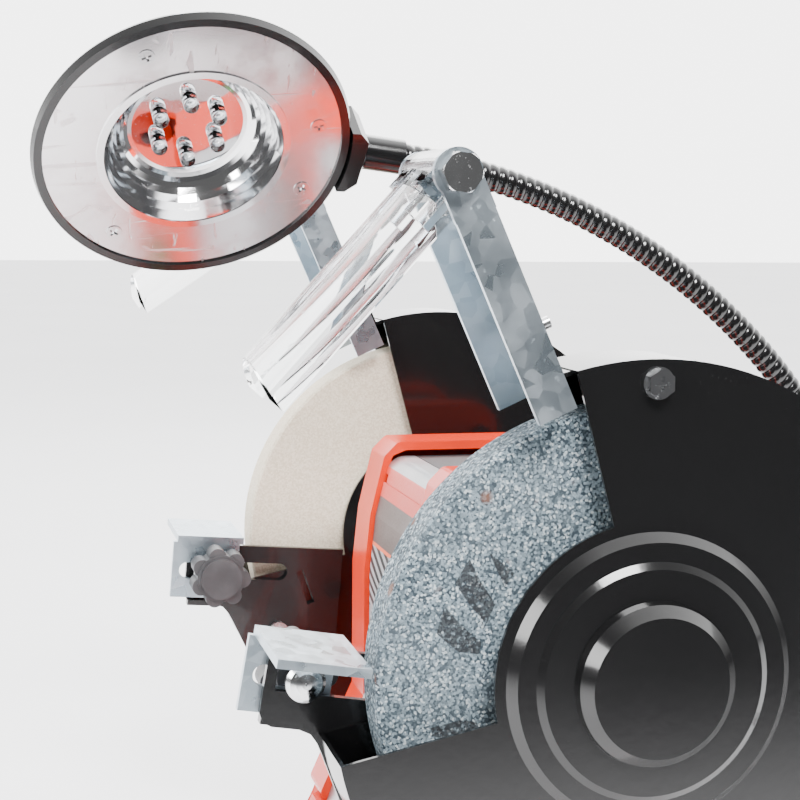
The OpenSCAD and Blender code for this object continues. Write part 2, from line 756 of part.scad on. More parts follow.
module cover() color("black") {
  hub = cover_hub_d / 2;
  at_spindle() difference() {
    union() {
      guard_sector(hub - 2, guard_r, cover_x, cover_x + guard_t, open_top, open_low);
      about_x([[0, cover_x + dome_h - guard_t], [dome_d / 2 - 4, cover_x + dome_h - guard_t],
        [dome_d / 2 - 1.4, cover_x + dome_h - 3.4], [dome_d / 2 - 1, cover_x + 3.6],
        [31, cover_x + 3.6], [33, cover_x + 2.4], [38, cover_x + 2.4], [40.6, cover_x],
        [hub, cover_x], [hub, cover_x + guard_t], [41.4, cover_x + guard_t],
        [38.8, cover_x + 3.6], [33.6, cover_x + 3.6], [31.6, cover_x + 4.8],
        [dome_d / 2 + 0.6, cover_x + 4.8], [dome_d / 2, cover_x + dome_h - 3],
        [dome_d / 2 - 3, cover_x + dome_h], [0, cover_x + dome_h]]);
    }
    for (a = cover_screw_a)
      translate([0, -cover_screw_r * cos(a), cover_screw_r * sin(a)])
        rod_x(4.4, cover_x - 1, cover_x + 3, 32);
  }
}

module cover_screws() color("silver") {
  for (s = [-1, 1]) side(s) at_spindle() for (a = cover_screw_a)
    translate([cover_x + guard_t, -cover_screw_r * cos(a), cover_screw_r * sin(a)])
      rotate([0, -90, 0]) hex_screw(3.4, 7, 3.4, 12);
}

// ---- eye shields ----

// axes of the shield bracket: Z runs from the foot to the pivot
module channel_place()
  translate([0, foot_y, foot_z]) rotate([channel_tilt, 0, 0]) children();

module channel_holes(d)
  for (x = [-7, 7])
    channel_place() translate([channel_x + channel_w / 2 + x, 0, 22])
      rotate([-90, 0, 0]) cylinder(d = d, h = 20, $fn = 32);

module channel() color("lightsteelblue") {
  half = channel_deep / 2;
  at_spindle() difference() {
    union() {
      for (x = [channel_x, channel_x + channel_w - channel_t])
        channel_place() {
          translate([x, -half, 0]) cube([channel_t, channel_deep, channel_l - 6]);
          translate([0, 0, channel_l]) rod_x(2 * 6.6, x, x + channel_t, 64);
          translate([x, -half - 0.2, channel_l - 12]) cube([channel_t, channel_deep + 0.4, 12]);
        }
      channel_place() translate([channel_x, half - channel_t, 0])
        cube([channel_w, channel_t, channel_l - 16]);
    }
    channel_place() translate([0, 0, channel_l])
      rod_x(6.2, channel_x - 1, channel_x + channel_w + 1, 48);
    channel_holes(4.4);
    channel_place() translate([0, 0, 22])
      for (x = [-7, 7]) translate([channel_x + channel_w / 2 + x, 0, 0]) cube([4.4, 20, 6], center = true);
  }
}

module channel_screws() color("silver") {
  for (s = [-1, 1]) side(s) at_spindle() channel_place() for (x = [-7, 7])
    translate([channel_x + channel_w / 2 + x, channel_deep / 2 - channel_t, 22])
      rotate([-90, 0, 0]) pan_screw(3.4, 7.6, 2.2, 7);
}

module pivot_bolts() color("silver") {
  for (s = [-1, 1]) side(s) at_spindle() channel_place() translate([0, 0, channel_l]) {
    rod_x(6, channel_x, channel_x + channel_w + 4, 48);
    translate([channel_x - 4, 0, 0]) rotate([0, 90, 0]) cylinder(d = 11.5, h = 4, $fn = 6);
    translate([channel_x + channel_w, 0, 0]) rotate([0, 90, 0]) difference() {
      cylinder(d = 11.5, h = 4.6, $fn = 6);
      translate([0, 0, 4.2]) difference() {
        cylinder(d = 14, h = 2);
        cylinder(d1 = 11, d2 = 9.4, h = 1);
      }
    }
  }
}

shield_x0 = channel_x + channel_t + 0.4;
shield_w = channel_w - 2 * channel_t - 0.8;

// a shield in its own axes: pivot along X at the origin, the sheet runs along -Y
module shield_form() {
  r1 = shield_w / 2;
  deep = 9;
  arch = (r1 * r1 + deep * deep) / (2 * deep);
  difference() {
    union() {
      rod_x(13, shield_x0, shield_x0 + shield_w, 64);
      intersection() {
        translate([shield_x0 + r1, -4, 6.4 - arch]) rotate([90, 0, 0]) difference() {
          cylinder(r = arch, h = shield_l - 4, $fn = 160);
          translate([0, 0, -1]) cylinder(r = arch - shield_t, h = shield_l, $fn = 160);
        }
        translate([shield_x0, -shield_l, -12]) cube([shield_w, shield_l, 24]);
      }
      translate([shield_x0, -16, -5]) cube([2.4, 14, 8.4]);
      translate([shield_x0 + shield_w - 2.4, -16, -5]) cube([2.4, 14, 8.4]);
      translate([shield_x0, -9, -1.6]) cube([shield_w, 8, 6.8]);
    }
    rod_x(6.12, shield_x0 - 1, shield_x0 + shield_w + 1, 48);
    // the lower end is cut back in the middle
    translate([shield_x0 + r1, -shield_l - 26, -20]) cylinder(r = 33, h = 60, $fn = 128);
  }
}

module shield(a) color("whitesmoke") {
  at_spindle() translate([0, pivot_y, pivot_z]) rotate([a, 0, 0]) shield_form();
}

// ---- tool rests ----

module lean(a) at_spindle() rotate([-a, 0, 0]) children();

bracket_screw_yz = [[-62, -42], [-50, -52]];

module side_screws(d, a)
  for (p = bracket_screw_yz) rotate([-a, 0, 0])
    translate([0, p[0], p[1]]) rod_x(d, bracket_x - 1, wall_x + 4, 32);

module bracket(a) color("black") {
  lean(a) difference() {
    union() {
      plate_x(bracket_x, wall_x) polygon([[-100, -8.5], [-100, -28.5], [-98.6, -31],
        [-96, -32], [-88, -32], [-84.6, -33], [-82.2, -35.4], [-80.4, -38.3],
        [-72.8, -51.3], [-67, -60], [-62, -63], [-48, -63], [-42, -58], [-38.5, -48],
        [-38.5, -8.5]]);
      translate([bracket_x - 3.2, -99, -32]) cube([4, 13, 2]);
    }
    // slot for the clamp bolt
    plate_x(bracket_x - 1, wall_x + 1) {
      translate([-96.8, clamp_z - rest_bolt / 2 - 0.3]) square([33.3, rest_bolt + 0.6]);
      translate([-63.5, clamp_z]) circle(d = rest_bolt + 0.6);
    }
    plate_x(bracket_x - 1, wall_x + 1)
      translate([-52.5, -24]) rotate(-66) square([14, 3], center = true);
    for (p = bracket_screw_yz)
      translate([0, p[0], p[1]]) rod_x(4.3, bracket_x - 1, wall_x + 1, 32);
  }
}

module bracket_screws() color("silver") {
  for (s = [-1, 1]) side(s) lean(s > 0 ? rest_right : rest_left)
    for (p = bracket_screw_yz)
      translate([bracket_x, p[0], p[1]]) rotate([0, 90, 0]) pan_screw(3.4, 8, 2.2, 5.4);
}

module rest(a) color("silver") {
  rear = table_z_rear;
  lean(a) difference() {
    union() {
      translate([rest_x, -rest_deep - rear, table_z - rest_t])
        cube([rest_w, rest_deep, rest_t]);
      translate([rest_x, -rest_deep - rear - 1.5, table_z - rest_flange])
        cube([rest_t, rest_deep, rest_flange - rest_t + eps]);
    }
    plate_x(rest_x - 1, bracket_x + 0.01) {
      translate([-100, clamp_z]) circle(d = rest_bolt + 0.2);
      translate([-100, clamp_z - rest_bolt / 2 - 0.1]) square([11.4, rest_bolt + 0.2]);
      translate([clamp_y, clamp_z]) circle(d = rest_bolt + 0.2);
    }
  }
}

table_z_rear = 78.8;

module clamp(a) color("silver") {
  lean(a) translate([0, clamp_y, clamp_z]) {
    rod_x(rest_bolt, rest_x - 12, wall_x + 0.5, 48);
    translate([bracket_x + 0.6, -rest_bolt / 2, -rest_bolt / 2])
      cube([bracket_t - 0.3, rest_bolt, rest_bolt]);
    about_x([[0, wall_x + 0.3], [5.9, wall_x + 0.3], [5.7, wall_x + 0.9],
      [4.6, wall_x + 1.9], [3, wall_x + 2.7], [1.4, wall_x + 3.1], [0, wall_x + 3.2]]);
  }
}

module knob(a) color("dimgray") {
  x1 = rest_x - 0.3;
  lean(a) translate([0, clamp_y, clamp_z]) difference() {
    union() {
      rod_x(14, x1 - 4, x1);
      rod_x(knob_d - 5, x1 - 14, x1 - 3.5);
      for (i = [0:6]) rotate([i * 360 / 7, 0, 0])
        translate([0, knob_d / 2 - 3.3, 0]) rod_x(6.6, x1 - 13.4, x1 - 4, 48);
      rod_x(15.6, x1 - 15.2, x1 - 13.9);
    }
    rod_x(rest_bolt + 0.1, x1 - 12.2, x1 + 1, 48);
  }
}

// ---- wheels ----

module wheel() color("gray") {
  at_spindle() difference() {
    about_x([[spindle_d / 2, wheel_in], [wheel_r - 0.8, wheel_in], [wheel_r, wheel_in + 0.8],
      [wheel_r, wheel_out - 0.8], [wheel_r - 0.8, wheel_out], [spindle_d / 2, wheel_out]]);
  }
}

module flanges() color("silver") {
  for (s = [-1, 1]) side(s) at_spindle() {
    about_x([[spindle_d / 2, wheel_in - flange_t], [flange_d / 2 - 10, wheel_in - flange_t],
      [flange_d / 2, wheel_in - 2], [flange_d / 2, wheel_in], [spindle_d / 2, wheel_in]]);
    about_x([[spindle_d / 2, wheel_out], [flange_d / 2, wheel_out],
      [flange_d / 2, wheel_out + 1.4], [flange_d / 2 - 8, wheel_out + flange_t],
      [spindle_d / 2, wheel_out + flange_t]]);
  }
}

module nuts() color("silver") {
  x0 = wheel_out + flange_t;
  for (s = [-1, 1]) side(s) at_spindle() difference() {
    translate([x0, 0, 0]) rotate([0, 90, 0]) cylinder(d = nut_af / cos(30), h = nut_h, $fn = 6);
    rod_x(spindle_d, x0 - 1, x0 + nut_h + 1);
  }
}

base();
bottom_plate();
feet();
bottom_screws();
side(-1) bell();  // bell_left
side(1) bell();  // bell_right
side(-1) neck();  // neck_left
side(1) neck();  // neck_right
tie_bolts();
neck_screws();
front_panel();
label();
rear_panel();
motor_shell();
stator();
windings();
rotor();
shaft();
side(-1) bearing();  // bearing_left
side(1) bearing();  // bearing_right
capacitor();
switch_body();
rocker();
cord_gland();
lamp_socket();
goose_low();
goose_mid();
goose_top();
ferrule();
lamp_block();
lamp_shell();
lamp_face();
reflector();
led_disc();
leds();
face_screws();
side(-1) guard(rest_left);  // guard_left
side(1) guard(rest_right);  // guard_right
side(-1) cover();  // cover_left
side(1) cover();  // cover_right
cover_screws();
side(-1) channel();  // channel_left
side(1) channel();  // channel_right
channel_screws();
pivot_bolts();
side(-1) shield(shield_left);
side(1) shield(shield_right);
side(-1) bracket(rest_left);  // bracket_left
side(1) bracket(rest_right);  // bracket_right
bracket_screws();
side(-1) rest(rest_left);
side(1) rest(rest_right);
side(-1) clamp(rest_left);  // clamp_left
side(1) clamp(rest_right);  // clamp_right
side(-1) knob(rest_left);  // knob_left
side(1) knob(rest_right);  // knob_right
side(-1) wheel();  // wheel_left
side(1) wheel();  // wheel_right
flanges();
nuts();
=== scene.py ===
import math

import bpy
import numpy as np
from mathutils import Matrix, Vector


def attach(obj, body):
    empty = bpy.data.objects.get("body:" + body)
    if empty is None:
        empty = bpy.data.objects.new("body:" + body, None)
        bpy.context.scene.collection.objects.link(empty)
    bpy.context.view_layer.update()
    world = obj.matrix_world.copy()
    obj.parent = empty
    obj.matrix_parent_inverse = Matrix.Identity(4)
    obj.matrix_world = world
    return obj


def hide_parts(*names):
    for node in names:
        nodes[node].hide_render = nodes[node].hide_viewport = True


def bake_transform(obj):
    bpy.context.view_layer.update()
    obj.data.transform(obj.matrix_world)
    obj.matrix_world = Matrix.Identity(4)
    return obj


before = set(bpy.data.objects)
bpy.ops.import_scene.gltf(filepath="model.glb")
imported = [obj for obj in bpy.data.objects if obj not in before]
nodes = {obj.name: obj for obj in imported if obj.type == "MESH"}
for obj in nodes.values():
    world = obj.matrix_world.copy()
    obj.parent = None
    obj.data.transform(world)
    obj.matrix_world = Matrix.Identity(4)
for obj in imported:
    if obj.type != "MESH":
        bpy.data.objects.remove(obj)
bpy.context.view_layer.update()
print("frame loaded,", len(nodes), "nodes")


class Sock:  # a node output that takes arithmetic
    def __init__(self, net, out):
        self.net, self.out = net, out

    def math(self, op, a, b=0.0):
        return self.net.node("ShaderNodeMath", {"operation": op}, {0: a, 1: b})

    def __add__(self, o): return self.math("ADD", self, o)
    def __radd__(self, o): return self.math("ADD", o, self)
    def __sub__(self, o): return self.math("SUBTRACT", self, o)
    def __rsub__(self, o): return self.math("SUBTRACT", o, self)
    def __mul__(self, o): return self.math("MULTIPLY", self, o)
    def __rmul__(self, o): return self.math("MULTIPLY", o, self)
    def fract(self): return self.math("FRACT", self)
    def absolute(self): return self.math("ABSOLUTE", self)
    def sine(self): return self.math("SINE", self)
    def root(self): return self.math("SQRT", self)
    def below(self, o): return self.math("LESS_THAN", self, o)
    def above(self, o): return self.math("GREATER_THAN", self, o)
    def least(self, o): return self.math("MINIMUM", self, o)
    def most(self, o): return self.math("MAXIMUM", self, o)

    def ramp(self, a, b, low=0.0, high=1.0):  # low at a, high at b, eased and clamped
        return self.net.node("ShaderNodeMapRange", {"interpolation_type": "SMOOTHSTEP"},
                             {0: self, 1: a, 2: b, 3: low, 4: high})


class Net:  # a material's node tree
    def __init__(self, name):
        self.material = bpy.data.materials.new(name)
        self.material.use_nodes = True
        self.tree = self.material.node_tree
        self.tree.nodes.clear()
        self.seen = {}

    def node(self, kind, settings=None, inputs=None, out=0):
        made = self.tree.nodes.new(kind)
        for key, value in (settings or {}).items():
            setattr(made, key, value)
        for key, value in (inputs or {}).items():
            if isinstance(value, Sock):
                self.tree.links.new(value.out, made.inputs[key])
            else:
                made.inputs[key].default_value = value
        return Sock(self, made.outputs[out])

    def place(self):  # the point in the shared frame, in metres
        if "place" not in self.seen:
            self.seen["place"] = self.node("ShaderNodeTexCoord", out="Object")
        return self.seen["place"]

    def axis(self, i, point=None):
        split = self.node("ShaderNodeSeparateXYZ", None, {0: point or self.place()})
        return Sock(self, split.out.node.outputs[i])

    def noise(self, scale, detail=3.0, rough=0.55, stretch=(1, 1, 1), distortion=0.0):
        where = self.place()
        if tuple(stretch) != (1, 1, 1):
            where = self.node("ShaderNodeVectorMath", {"operation": "MULTIPLY"},
                              {0: where, 1: stretch})
        return self.node("ShaderNodeTexNoise", None, {
            "Vector": where, "Scale": scale, "Detail": detail, "Roughness": rough,
            "Distortion": distortion})

    def cells(self, scale, out="Distance"):
        return self.node("ShaderNodeTexVoronoi", {"feature": "F1"},
                         {"Vector": self.place(), "Scale": scale, "Randomness": 1.0}, out)

    def mix(self, t, a, b):
        return self.node("ShaderNodeMix", {"data_type": "RGBA"},
                         {0: t, 6: tint(a), 7: tint(b)}, 2)

    def bump(self, height, distance, strength):
        return self.node("ShaderNodeBump", None, {
            "Height": height, "Distance": distance, "Strength": strength})

    def surface(self, **values):
        names = {key.replace("_", " "): tint(v) for key, v in values.items()}
        shader = self.node("ShaderNodeBsdfPrincipled", None, names)
        out = self.tree.nodes.new("ShaderNodeOutputMaterial")
        self.tree.links.new(shader.out, out.inputs["Surface"])
        return self.material


def tint(v):
    return (*v, 1.0) if isinstance(v, tuple) and len(v) == 3 else v


def fromRing(net, y0, z0):  # distance from an axis along X through (y0, z0), and the angle
    y, z = net.axis(1) - y0, net.axis(2) - z0
    return (y * y + z * z).root(), net.node("ShaderNodeMath", {"operation": "ARCTAN2"}, {0: z, 1: y})


spindleZ = 0.128
looks = {}


def orangePaint():
    paint = {"base": (0.72, 0.034, 0.004), "dark": (0.60, 0.024, 0.003), "rough": 0.16, "dull": 0.26}
    net = Net("orange_paint")
    cloud = net.noise(22, 3)
    peel = net.noise(520, 2, 0.5)
    grit = net.noise(2600, 2)
    colour = net.mix(cloud.ramp(0.3, 0.75), paint["base"], paint["dark"])
    height = peel * 0.8 + grit * 0.12
    return net.surface(Base_Color=colour, Roughness=cloud.ramp(0.2, 0.8, paint["rough"], paint["dull"]),
                       Coat_Weight=0.1, Coat_Roughness=0.05, Specular_IOR_Level=0.25,
                       Normal=net.bump(height, 0.00006, 0.5))


def blackPaint(name="black_paint", shade=0.006, rough=0.1, peelSize=0.00004):
    net = Net(name)
    cloud = net.noise(14, 4)
    peel = net.noise(340, 2, 0.5)
    dust = net.cells(900).ramp(0.02, 0.10, 1.0, 0.0) * net.noise(60, 2).ramp(0.52, 0.7)
    scuff = net.noise(60, 4, 0.6, (1, 1, 7)).ramp(0.62, 0.8)
    colour = net.mix(dust * 0.35, (shade, shade, shade * 1.04), (0.22, 0.22, 0.21))
    return net.surface(Base_Color=colour, Coat_Weight=0.25, Coat_Roughness=0.04,
                       Roughness=cloud.ramp(0.25, 0.8, rough, rough + 0.1) + scuff * 0.08 + dust * 0.2,
                       Normal=net.bump(peel, peelSize, 0.6))


def zincPlate():
    net = Net("zinc")
    grainTone = net.axis(0, net.cells(260, "Color"))
    broad = net.noise(38, 4, 0.6)
    brushed = net.noise(900, 3, 0.6, (1, 1, 0.06))
    scratch = net.noise(420, 2, 0.5, (0.05, 1, 1), 0.4).ramp(0.66, 0.72)
    colour = net.mix(grainTone * 0.45 + broad.ramp(0.3, 0.8) * 0.5,
                     (0.40, 0.48, 0.54), (0.66, 0.73, 0.78))
    rough = 0.24 + grainTone * 0.10 + broad.ramp(0.4, 0.8) * 0.10 + scratch * 0.1
    height = brushed * 0.5 + grainTone * 0.2 - scratch * 0.4
    return net.surface(Base_Color=colour, Metallic=0.95, Roughness=rough,
                       Normal=net.bump(height, 0.00003, 0.5))


def brightSteel(name="steel", base=(0.66, 0.67, 0.68), rough=0.2):
    net = Net(name)
    cloud = net.noise(120, 4, 0.6)
    turned = net.noise(1500, 2, 0.6, (1, 0.1, 1))
    pit = net.noise(700, 3).ramp(0.64, 0.72)
    colour = net.mix(cloud.ramp(0.3, 0.75) * 0.6 + pit * 0.3, base, tuple(v * 0.66 for v in base))
    return net.surface(Base_Color=colour, Metallic=1.0,
                       Roughness=rough + cloud.ramp(0.3, 0.8) * 0.12 + pit * 0.2,
                       Normal=net.bump(turned * 0.6 - pit * 0.5, 0.00003, 0.5))


def greyWheel():
    stamp = {"bars": 26.0, "lean": 260.0, "halfWide": 0.0065, "outerFace": 0.1179,
             "lowAt": -2.72, "lowRing": 0.0545, "lowSpan": 0.22,
             "highAt": 2.72, "highRing": 0.0535, "highSpan": 0.26}
    net = Net("wheel_grey")
    grain = net.cells(1500, "Color")
    tone = net.axis(0, grain)
    pore = net.cells(1100).ramp(0.0, 0.5)
    fine = net.noise(2600, 3, 0.6)
    broad = net.noise(30, 4, 0.6)
    colour = net.mix(tone.ramp(0.1, 0.95), (0.022, 0.036, 0.048), (0.25, 0.32, 0.36))
    colour = net.mix(tone.above(0.88) * fine.ramp(0.4, 0.6), colour, (0.70, 0.75, 0.76))
    colour = net.mix(fine.ramp(0.56, 0.66) * 0.75, colour, (0.028, 0.036, 0.045))
    colour = net.mix(broad.ramp(0.4, 0.75) * 0.25, colour, (0.15, 0.18, 0.20))
    rust = net.cells(95).ramp(0.10, 0.26, 1.0, 0.0) * net.noise(75, 2).ramp(0.54, 0.60)
    colour = net.mix(rust * 0.75, colour, (0.17, 0.06, 0.025))
    far, angle = fromRing(net, 0.0, spindleZ)
    bars = (angle * stamp["bars"] + far * stamp["lean"]).sine().above(-0.1)
    band = 0.0
    for end in ("low", "high"):
        ring = (far - stamp[end + "Ring"]).absolute().below(stamp["halfWide"])
        arc = (angle - stamp[end + "At"]).absolute().below(stamp[end + "Span"])
        band = band + ring * arc
    worn = net.noise(700, 3).ramp(0.30, 0.50)
    side = net.axis(0).above(stamp["outerFace"])
    ink = band.least(1.0) * bars * worn * side  # worn ink bars on the outer face only
    colour = net.mix(ink * 0.85, colour, (0.014, 0.014, 0.016))
    height = tone * 0.6 + fine * 0.5 + pore * 0.5
    return net.surface(Base_Color=colour, Roughness=0.82, Specular_IOR_Level=0.35,
                       Normal=net.bump(height, 0.0002, 0.8))


def whiteWheel():
    net = Net("wheel_white")
    grain = net.cells(1600, "Color")
    tone = net.axis(0, grain)
    fine = net.noise(1900, 3, 0.6)
    broad = net.noise(26, 4, 0.6)
    colour = net.mix(tone.ramp(0.0, 1.0), (0.70, 0.60, 0.45), (0.86, 0.77, 0.62))
    colour = net.mix(fine.ramp(0.58, 0.7) * 0.4, colour, (0.50, 0.43, 0.33))
    colour = net.mix(broad.ramp(0.45, 0.8) * 0.3, colour, (0.76, 0.68, 0.55))
    return net.surface(Base_Color=colour, Roughness=0.85, Specular_IOR_Level=0.3,
                       Normal=net.bump(tone * 0.5 + fine * 0.6, 0.0003, 0.8))


def clearPlastic():
    net = Net("clear_plastic")
    haze = net.noise(70, 4, 0.6).ramp(0.45, 0.8)
    scratch = net.noise(500, 2, 0.5, (1, 0.05, 1), 0.3).ramp(0.66, 0.74)
    return net.surface(Base_Color=(0.985, 0.992, 0.995), IOR=1.49, Transmission_Weight=1.0,
                       Roughness=0.015 + haze * 0.03 + scratch * 0.12,
                       Normal=net.bump(scratch, 0.00002, 0.3))


def clearLed():
    net = Net("led_clear")
    return net.surface(Base_Color=(0.97, 0.985, 1.0), IOR=1.5, Transmission_Weight=1.0,
                       Roughness=net.noise(200, 2).ramp(0.3, 0.8, 0.02, 0.05))


def rubberBlack(name="rubber", shade=0.022, rough=0.6, size=0.00008):
    net = Net(name)
    fine = net.noise(1500, 3, 0.6)
    cloud = net.noise(40, 3)
    colour = net.mix(cloud.ramp(0.3, 0.8) * 0.6, (shade,) * 3, (shade * 2.2,) * 3)
    return net.surface(Base_Color=colour, Roughness=rough + fine.ramp(0.3, 0.7) * 0.12,
                       Normal=net.bump(fine, size, 0.6))


def crinkleBlack():
    net = Net("crinkle_black")
    fine = net.noise(1300, 3, 0.7, distortion=0.6)
    fleck = net.cells(1150).ramp(0.06, 0.2, 1.0, 0.0) * net.noise(300, 2).ramp(0.46, 0.6)
    colour = net.mix(fleck, (0.007, 0.007, 0.008), (0.22, 0.21, 0.20))
    return net.surface(Base_Color=colour, Roughness=0.5,
                       Normal=net.bump(fine, 0.00018, 0.8))


def knobGrey():
    net = Net("knob_grey")
    fine = net.noise(1100, 3, 0.6)
    cloud = net.noise(90, 3)
    colour = net.mix(cloud.ramp(0.3, 0.8), (0.038, 0.038, 0.041), (0.070, 0.070, 0.074))
    return net.surface(Base_Color=colour, Roughness=0.42 + cloud.ramp(0.4, 0.8) * 0.15,
                       Normal=net.bump(fine, 0.00006, 0.5))


def facePlate():
    net = Net("aluminium")
    cloud = net.noise(55, 5, 0.62)
    fine = net.noise(1300, 3, 0.6)
    first = net.noise(330, 2, 0.5, (1, 0.03, 0.4), 0.5).ramp(0.64, 0.70)
    second = net.noise(360, 2, 0.5, (0.05, 1, 0.3), 0.6).ramp(0.66, 0.71)
    third = net.noise(300, 2, 0.5, (0.4, 0.2, 0.05), 0.8).ramp(0.67, 0.72)
    marks = first.most(second).most(third)
    smear = cloud.ramp(0.42, 0.72)
    colour = net.mix(smear * 0.6 + marks * 0.5, (0.83, 0.81, 0.82), (0.60, 0.55, 0.56))
    return net.surface(Base_Color=colour, Metallic=1.0,
                       Roughness=0.13 + smear * 0.13 + marks * 0.15,
                       Normal=net.bump(fine * 0.15 - marks * 0.7, 0.00003, 0.5))


def mirrorFinish(name="mirror", rough=0.03, wave=0.00006):
    net = Net(name)
    slow = net.noise(90, 2, 0.5)
    dust = net.noise(1400, 3).ramp(0.62, 0.72)
    colour = net.mix(dust * 0.4, (0.90, 0.90, 0.91), (0.6, 0.6, 0.6))
    return net.surface(Base_Color=colour, Metallic=1.0, Roughness=rough + dust * 0.12,
                       Normal=net.bump(slow, wave, 0.5))


def panelGrey():
    band = {"low": 0.1598, "high": 0.1654, "front": -0.030, "red": (0.62, 0.050, 0.030)}
    net = Net("panel_grey")
    cloud = net.noise(40, 4)
    fine = net.noise(1200, 3)
    colour = net.mix(cloud.ramp(0.3, 0.8), (0.50, 0.51, 0.52), (0.38, 0.39, 0.40))
    z = net.axis(2)
    printed = z.above(band["low"]) * z.below(band["high"]) * net.axis(1).below(band["front"])
    colour = net.mix(printed, colour, band["red"])
    return net.surface(Base_Color=colour, Metallic=0.85 - printed * 0.85,
                       Roughness=0.3 + fine.ramp(0.3, 0.7) * 0.1,
                       Normal=net.bump(fine, 0.00003, 0.4))


def printedLabel():
    part = {"redLow": 0.1552, "brownLow": 0.139, "lineLow": 0.1377, "stripesLow": 0.116}
    net = Net("label")
    x, z = net.axis(0), net.axis(2)
    grain = net.noise(1400, 3, 0.6)
    cloud = net.noise(60, 3)
    stripe = ((x * 90.0 + z * 240.0).fract()).above(0.5)
    colour = net.mix(stripe, (0.012, 0.011, 0.012), (0.30, 0.30, 0.31))
    colour = net.mix(z.above(part["stripesLow"]), (0.23, 0.22, 0.225), colour)
    colour = net.mix(z.above(part["lineLow"]), colour, (0.75, 0.12, 0.04))
    colour = net.mix(z.above(part["brownLow"]), colour, (0.075, 0.050, 0.045))
    colour = net.mix(z.above(part["redLow"]), colour, (0.62, 0.050, 0.030))
    colour = net.mix(cloud.ramp(0.4, 0.8) * 0.15, colour, (0.34, 0.33, 0.33))
    return net.surface(Base_Color=colour, Roughness=0.36 + grain.ramp(0.3, 0.7) * 0.08,
                       Specular_IOR_Level=0.3, Normal=net.bump(grain, 0.00002, 0.4))


def lamination():
    net = Net("lamination")
    sheet = (net.axis(0) * 1900.0).sine()
    cloud = net.noise(60, 3)
    colour = net.mix(cloud.ramp(0.3, 0.8), (0.22, 0.23, 0.25), (0.12, 0.12, 0.13))
    return net.surface(Base_Color=colour, Metallic=0.9, Roughness=0.4,
                       Normal=net.bump(sheet, 0.0001, 0.5))


def copperWire():
    net = Net("copper")
    wound = (net.axis(0) * 5200.0).sine()
    cloud = net.noise(70, 3)
    colour = net.mix(cloud.ramp(0.3, 0.8), (0.62, 0.22, 0.08), (0.40, 0.13, 0.05))
    return net.surface(Base_Color=colour, Metallic=0.8, Roughness=0.32,
                       Normal=net.bump(wound, 0.0002, 0.6))


def rockerGreen():
    net = Net("rocker_green")
    cloud = net.noise(60, 3)
    colour = net.mix(cloud.ramp(0.3, 0.8), (0.015, 0.23, 0.05), (0.01, 0.16, 0.035))
    return net.surface(Base_Color=colour, Roughness=cloud.ramp(0.2, 0.8, 0.18, 0.3),
                       Normal=net.bump(net.noise(1300, 2), 0.00003, 0.4))


looks["orange"] = orangePaint()
looks["black"] = blackPaint()
looks["satin"] = blackPaint("black_satin", 0.009, 0.2, 0.00008)
looks["gloss"] = blackPaint("plastic_gloss", 0.006, 0.13, 0.00003)
looks["zinc"] = zincPlate()
looks["steel"] = brightSteel()
looks["bolt"] = brightSteel("bright_bolt", (0.80, 0.81, 0.82), 0.12)
looks["wheelGrey"] = greyWheel()
looks["wheelWhite"] = whiteWheel()
looks["clear"] = clearPlastic()
looks["led"] = clearLed()
looks["rubber"] = rubberBlack()
looks["matte"] = rubberBlack("plastic_black", 0.016, 0.42, 0.00004)
looks["crinkle"] = crinkleBlack()
looks["knob"] = knobGrey()
looks["face"] = facePlate()
looks["mirror"] = mirrorFinish()
looks["bowl"] = mirrorFinish("bowl_mirror", 0.07, 0.00005)
looks["panel"] = panelGrey()
looks["label"] = printedLabel()
looks["lamination"] = lamination()
looks["copper"] = copperWire()
looks["rocker"] = rockerGreen()

wearing = {
    "orange": ["base", "bell_left", "bell_right"],
    "black": ["guard_left", "guard_right", "cover_left", "cover_right", "neck_left", "neck_right"],
    "satin": ["bracket_left", "bracket_right", "rear_panel"],
    "gloss": ["ferrule", "lamp_block", "lamp_shell", "capacitor", "lamp_socket",
              "goose_low", "goose_mid", "goose_top"],
    "zinc": ["channel_left", "channel_right", "rest_left", "rest_right", "bottom_plate"],
    "steel": ["bottom_screws", "tie_bolts", "neck_screws", "shaft", "bearing_left", "bearing_right",
              "channel_screws", "bracket_screws", "flanges", "nuts"],
    "bolt": ["clamp_left", "clamp_right", "pivot_bolts", "cover_screws", "face_screws"],
    "wheelGrey": ["wheel_right"], "wheelWhite": ["wheel_left"],
    "clear": ["shield_left", "shield_right"], "led": ["leds"],
    "rubber": ["feet"], "matte": ["switch_body", "cord_gland"], "crinkle": ["motor_shell"],
    "knob": ["knob_left", "knob_right"], "face": ["lamp_face"], "mirror": ["led_disc"],
    "bowl": ["reflector"], "panel": ["front_panel"], "label": ["label"],
    "lamination": ["stator", "rotor"], "copper": ["windings"], "rocker": ["rocker"],
}
for look, names in wearing.items():
    for name in names:
        nodes[name].data.materials.clear()
        nodes[name].data.materials.append(looks[look])
print("materials made for", sum(len(v) for v in wearing.values()), "nodes")


